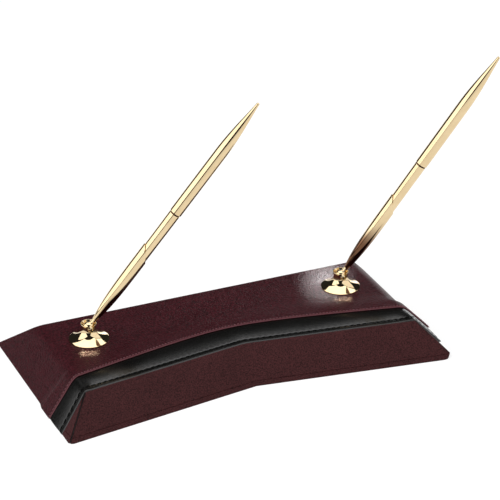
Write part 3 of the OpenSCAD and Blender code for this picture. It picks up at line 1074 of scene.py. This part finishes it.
def sew(name, surface, rise, across, pitch, length, thickness, lift, slant=0):
    """A row of stitches from end to end of a blank, each lifted a little off its face."""
    first = begin("stitch", bpy.ops.mesh.primitive_uv_sphere_add, segments=8, ring_count=6, radius=0.5)
    first.scale = (length, thickness, thickness)
    bpy.ops.object.transform_apply(location=False, rotation=False, scale=True)
    count = int(HALF_LENGTH / pitch)
    copies = []
    for number in range(-count, count):
        along = (number + 0.5) * pitch / HALF_LENGTH
        height = rise(along, across) + lift
        hold(first)
        bpy.ops.object.duplicate(linked=False)
        copies.append(bpy.context.object)
        put(copies[-1], stitch_matrix(surface, along, across, height, slant))
    bpy.data.objects.remove(first)
    clear_selection()
    for copy in copies:
        copy.select_set(True)
    bpy.context.view_layer.objects.active = copies[0]
    bpy.ops.object.join()
    row = bpy.context.object
    row.name = name
    bpy.ops.object.shade_smooth()
    return row


trim_row = sew(
    "trim_stitches", trim_surface, trim_lift, TRIM_ROW, TRIM_PITCH,
    length=3.9 * MM, thickness=0.8 * MM, lift=0.12 * MM, slant=math.radians(12),
)
finish_piece(trim_row, "base", ["trim_thread"], black_thread)
panel_row = sew(
    "panel_stitches", panel_surface, panel_lift, PANEL_ROW, PANEL_PITCH,
    length=1.7 * MM, thickness=0.42 * MM, lift=0.06 * MM,
)
finish_piece(panel_row, "base", ["panel_thread"], pink_thread)

# %% [markdown]
# ## Felt
# The pad under the base is cut from a cube like the leathers, with planes that don't lean. Felt goes
# soft with use, so all its edges are bevelled.

# %% Felt pad
PAD_IN = 5 * MM
PAD_SOFT = 0.3 * MM
PAD_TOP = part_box("base_pad")[1].z

pad = cut_block(
    "felt_pad",
    [
        (Vector((0, 0, 0)), Vector((0, 0, -1))),
        (Vector((0, 0, PAD_TOP)), Vector((0, 0, 1))),
        bevel_plane(FRONT_POINT, FRONT_HEADING, run=0, out=-PAD_IN),
        bevel_plane(BACK_POINT, BACK_HEADING, run=0, out=-PAD_IN),
        bevel_plane(END_POINT, END_HEADING, run=0, out=-PAD_IN),
    ],
    [MIDDLE],
)
mirror_half(pad)
ease_edges(pad, PAD_SOFT, degrees=40)
smooth(pad, degrees=40)
finish_piece(pad, "base", ["base_pad"], felt)

# %% [markdown]
# ## Turned metal
# Bells, balls, funnels and pens are all turned on a lathe, so each is half an outline spun round an
# axis. The outline is drawn with the same pencil as before. The spin makes the solid, doubles are
# merged, and the normals are turned outwards.


# %% Lathe
LATHE_STEPS = 96


def lathe(name, outline, steps=LATHE_STEPS, closed=False):
    """Spins an outline of (radius, height) points round the z axis."""
    piece = draw(name, [(r, 0.0, z) for r, z in outline])
    if closed:
        close_chain(piece)
    take_all()
    bpy.ops.mesh.spin(steps=steps, angle=math.tau, center=(0, 0, 0), axis=(0, 0, 1))
    take_all()
    bpy.ops.mesh.remove_doubles(threshold=2 * TOUCH)
    turn_normals_out()
    return piece


# %% [markdown]
# ## Bells
# The bell's foot flares out in one sweep, its waist is narrow, and its collar opens round the
# ball. A slot in front lets the stem drop. The slot is a cube with its lower edges bevelled into a
# half round, cut away with a boolean, and the new edges are eased with a bevel.

# %% Bells
FOOT_R = 12.95 * MM
FLARE_POWER = 2.5
RIM = 0.9 * MM
WAIST_R = 4.8 * MM
WAIST_UP = 8.8 * MM
COLLAR_R = 5.2 * MM
BELL_HEIGHT = 11.8 * MM
LIP = 0.25 * MM
BORE_R = 4.2 * MM
THROAT_R = 3.75 * MM
THROAT_UP, THROAT_STEP = 10.2 * MM, 0.6 * MM
SLOT_WIDTH = 4.2 * MM
SLOT_LOW = 6.9 * MM
BELL_STEPS, BELL_EASE = 128, 0.16 * MM
FLARE_STEPS, COLLAR_STEPS, LIP_STEPS = 40, 12, 8
LIP_FROM, LIP_TO = 15, 180
NEARLY_ALL = 0.99

flare = [
    (WAIST_R + (FOOT_R - WAIST_R) * w**FLARE_POWER, WAIST_UP - (WAIST_UP - RIM) * w)
    for w in reversed(shares(FLARE_STEPS))
]
collar = [
    (WAIST_R + (COLLAR_R - WAIST_R) * v**2, WAIST_UP + (BELL_HEIGHT - LIP - WAIST_UP) * v)
    for v in shares(COLLAR_STEPS)[1:]
]
bell_outline = [
    (BORE_R, 0), (FOOT_R, 0), *flare, *collar,
    *arc((COLLAR_R - LIP, BELL_HEIGHT - LIP), LIP, LIP_FROM, LIP_TO, LIP_STEPS),
    (THROAT_R, THROAT_UP), (BORE_R, THROAT_UP - THROAT_STEP),
]


def along_slot(edge):
    """Whether an edge of the cutter is one of the two that run along its lower side."""
    first, second = (vertex.co for vertex in edge.verts)
    return max(first.z, second.z) < SLOT_LOW + TOUCH and first.x * second.x > 0


def slot_cutter():
    cutter = begin("slot_cutter", bpy.ops.mesh.primitive_cube_add, size=1)
    cutter.scale = (SLOT_WIDTH, FOOT_R, BELL_HEIGHT)
    cutter.location = (0, -FOOT_R / 2, SLOT_LOW + BELL_HEIGHT / 2)
    bpy.ops.object.transform_apply()
    bpy.ops.object.mode_set(mode="EDIT")
    pick(cutter, "EDGE", along_slot)
    bpy.ops.mesh.bevel(offset=SLOT_WIDTH / 2 * NEARLY_ALL, segments=10, affect="EDGES")
    bpy.ops.object.mode_set(mode="OBJECT")
    return cutter


for word in HOLDERS:
    bell = lathe(f"{word}_bell", bell_outline, BELL_STEPS, closed=True)
    cutter = slot_cutter()
    apply_modifier(bell, "BOOLEAN", operation="DIFFERENCE", solver="EXACT", object=cutter)
    bpy.data.objects.remove(cutter)
    ease_edges(bell, BELL_EASE, degrees=38)
    put(bell, Matrix.Translation(bell_foot(word)))
    smooth(bell, degrees=40)
    finish_piece(bell, "base", [f"{word}_socket"], gold)

# %% [markdown]
# ## Balls, funnels and pens
# Everything on a pen's axis is turned round that axis with its zero in the middle of the ball. The
# joint that lifts a pen points along the axis, so the frame itself says how each pen leans.

# %% Where the pens stand
joints = {joint["name"]: joint for joint in frame["joints"]}


def pen_matrix(word):
    axis = Vector(joints[f"{word}_pen_lift"]["axis"]).normalized()
    turn = Matrix.Rotation(math.atan2(axis.y, axis.x), 4, "Z")
    lean = Matrix.Rotation(math.acos(axis.z), 4, "Y")
    return Matrix.Translation(joints[f"{word}_tilt"]["pos_m"]) @ turn @ lean


# %% Balls
BALL_R = 4 * MM
STEM_R = 1.5 * MM
STEM_TOP = 7 * MM
NECK_R, NECK_LENGTH = 2 * MM, 0.9 * MM
BALL_STEPS, NECK_STEPS = 30, 6

neck_start = 90 - math.degrees(math.asin(NECK_R / BALL_R))
neck_z = BALL_R * math.sin(math.radians(neck_start))
neck = [
    (STEM_R + (NECK_R - STEM_R) * (1 - t) ** 2, neck_z + NECK_LENGTH * t)
    for t in shares(NECK_STEPS)[1:]
]
ball_round = arc((0, 0), BALL_R, -90, neck_start, BALL_STEPS)
ball_outline = [*ball_round, *neck, (STEM_R, STEM_TOP), (0, STEM_TOP)]
for word in HOLDERS:
    ball = lathe(f"{word}_ball", ball_outline)
    put(ball, pen_matrix(word))
    smooth(ball)
    finish_piece(ball, f"{word}_holder", [f"{word}_swivel_ball"], gold)

# %% Funnels
MOUTH_S = 63 * MM
MOUTH_R = 4.25 * MM
MOUTH_SLANT = math.radians(54)
FUNNEL_WALL = 0.45 * MM
FUNNEL_FLOOR = 13 * MM
FUNNEL_CUT = 70 * MM
FUNNEL_CURVE = 4.5
FUNNEL_SPREAD = 1.5
OUTSIDE_STEPS, INSIDE_STEPS = 36, 24
MOUTH_EASE = 0.1 * MM
# The lower funnel is painted brown, a painted dark reflection of the base and the shaded floor.
DARK_REFLECTION, DARK_REFLECTION_SOFT = 0.92, 0.3
DARK_REFLECTION_TOP, DARK_REFLECTION_SPAN = 52 * MM, 24 * MM
DARK_REFLECTION_UP, DARK_REFLECTION_TURN = {"left": 0.30, "right": 0.95}, 0.7


def funnel_r(s):
    """Radius of the funnel along its axis: it swells fast and then runs out almost straight."""
    share = min((s - STEM_TOP) / (FUNNEL_CUT - STEM_TOP), 1)
    return STEM_R + (MOUTH_R - STEM_R) * (1 - (1 - share) ** FUNNEL_CURVE)


def painted_reflection_at(spot, stand, reach):
    """How much painted dark reflection the gold gets: most near the stem and on the side that faces
    down.
    """
    s = (stand.inverted() @ spot).z
    upward = (spot - stand @ Vector((0, 0, s))).normalized().z
    low = smooth_step((DARK_REFLECTION_TOP - s) / DARK_REFLECTION_SPAN)
    limit = reach - DARK_REFLECTION_TURN * max(s - DARK_REFLECTION_SPAN, 0) / DARK_REFLECTION_SPAN
    return DARK_REFLECTION * low * smooth_step((limit - upward) / DARK_REFLECTION_SOFT)


def spread_out(first, last, steps):
    """Places along the axis, closer together towards the first one."""
    return [first + (last - first) * share**FUNNEL_SPREAD for share in shares(steps)]


outside = spread_out(STEM_TOP, FUNNEL_CUT, OUTSIDE_STEPS)
inside = reversed(spread_out(FUNNEL_FLOOR, FUNNEL_CUT, INSIDE_STEPS))
funnel_outline = [
    (0, STEM_TOP),
    *[(funnel_r(s), s) for s in outside],
    *[(funnel_r(s) - FUNNEL_WALL, s) for s in inside],
    (0, FUNNEL_FLOOR),
]
for word in HOLDERS:
    stand = pen_matrix(word)
    funnel = lathe(f"{word}_funnel_cone", funnel_outline)
    bpy.ops.object.mode_set(mode="EDIT")
    mouth_normal = (math.sin(MOUTH_SLANT), 0, math.cos(MOUTH_SLANT))
    saw((0, 0, MOUTH_S), mouth_normal, clear_outer=True)
    pick(funnel, "EDGE", lambda e: e.is_boundary)
    bpy.ops.mesh.bridge_edge_loops()
    turn_normals_out()
    ease_edges(funnel, MOUTH_EASE, degrees=40, segments=2)
    put(funnel, stand)
    smooth(funnel, degrees=40)
    # Painted dark reflection, strongest near the stem and on the lower side.
    mark(funnel, "painted_dark_reflection", lambda v: painted_reflection_at(v.co, stand, DARK_REFLECTION_UP[word]))
    finish_piece(funnel, f"{word}_holder", [f"{word}_funnel"], funnel_gold_dark_reflection)

# %% Pens
NOSE_S, NOSE_END_S = 18 * MM, 43 * MM
NOSE_TIP_R, NOSE_JOIN_R = 0.9 * MM, 3.5 * MM
NOSE_CURVE, TAIL_CURVE = 0.8, 1.2
POINT_HOLE_R, POINT_DEPTH = 0.72 * MM, 1.6 * MM
GRIP_R = 3.72 * MM
RING_S, RING_W, RING_R = 96.5 * MM, 1.1 * MM, 3.52 * MM
TAIL_R, TAIL_S, TAIL_TAPER, TAIL_END_R = 4.05 * MM, 186 * MM, 40 * MM, 1 * MM
PEN_BORE_R = 3 * MM
EASE = 0.12 * MM
NOSE_STEPS, RING_STEPS, BARREL_STEPS, TAPER_STEPS, CAP_STEPS = 20, 6, 6, 30, 10
RING_TURN = 80


def nose_r(share):
    return NOSE_TIP_R + (NOSE_JOIN_R - NOSE_TIP_R) * share**NOSE_CURVE


def tail_r(share):
    """Radius along the taper, from 0 at the rounded end to 1 at the full barrel."""
    return TAIL_END_R + (TAIL_R - TAIL_END_R) * math.sin(math.pi / 2 * share) ** TAIL_CURVE


cap_s = TAIL_S - TAIL_END_R
taper_s = cap_s - TAIL_TAPER
ring_low, ring_high = RING_S - RING_W / 2, RING_S + RING_W / 2
tail_low = ring_high + EASE
pen_outlines = {
    "pen_nose": [
        (POINT_HOLE_R, NOSE_S + POINT_DEPTH), (POINT_HOLE_R, NOSE_S),
        *[(nose_r(v), NOSE_S + (NOSE_END_S - EASE - NOSE_S) * v) for v in shares(NOSE_STEPS)],
        (NOSE_JOIN_R - EASE, NOSE_END_S), (PEN_BORE_R, NOSE_END_S),
    ],
    "lower_barrel": [
        (PEN_BORE_R, NOSE_END_S), (NOSE_JOIN_R - EASE, NOSE_END_S), (NOSE_JOIN_R, NOSE_END_S + EASE),
        (GRIP_R, ring_low - EASE),
        (GRIP_R - EASE, ring_low), (PEN_BORE_R, ring_low),
    ],
    "pen_ring": [
        (PEN_BORE_R, ring_low), (RING_R - EASE, ring_low),
        *arc((RING_R - EASE, RING_S), EASE, -RING_TURN, RING_TURN, RING_STEPS),
        (RING_R - EASE, ring_high), (PEN_BORE_R, ring_high),
    ],
    "tail_barrel": [
        (PEN_BORE_R, ring_high), (TAIL_R - EASE, ring_high), (TAIL_R, tail_low),
        *[(TAIL_R, tail_low + (taper_s - tail_low) * v) for v in shares(BARREL_STEPS)[1:-1]],
        *[(tail_r(v), cap_s - TAIL_TAPER * v) for v in reversed(shares(TAPER_STEPS)[1:])],
        *arc((0, cap_s), TAIL_END_R, 0, 90, CAP_STEPS),
    ],
}
pen_finish = {"pen_ring": ("dark_enamel", dark_enamel)}
for word in HOLDERS:
    for part, outline in pen_outlines.items():
        slot, material = pen_finish.get(part, ("gold", gold))
        piece = lathe(f"{word}_{part}_turned", outline)
        put(piece, pen_matrix(word))
        smooth(piece)
        finish_piece(piece, f"{word}_pen", [f"{word}_{part}"], material)

# %% [markdown]
# ## What stays as it is
# The board, its fixings, and the springs, seats, bushes and refills have their true shape in the frame
# already. They only need their finishes.

# %% Finishes of the inner parts
inner_finish = {"core_board": board, "socket_washers": steel, "socket_nuts": steel}
paired_finish = {
    "socket_stud": steel, "seat_spring": steel, "ball_seat": nylon,
    "thread_bush": bush_plastic, "refill": refill_metal,
}
for word in HOLDERS:
    for part, material in paired_finish.items():
        inner_finish[f"{word}_{part}"] = material
for node, material in inner_finish.items():
    mesh = frame["nodes"][node].data
    mesh.materials.clear()
    mesh.materials.append(material)
print("finished inner parts:", len(inner_finish))

# %% [markdown]
# ## End
# The selection is cleared at the end.

# %% Clear the selection
clear_selection()
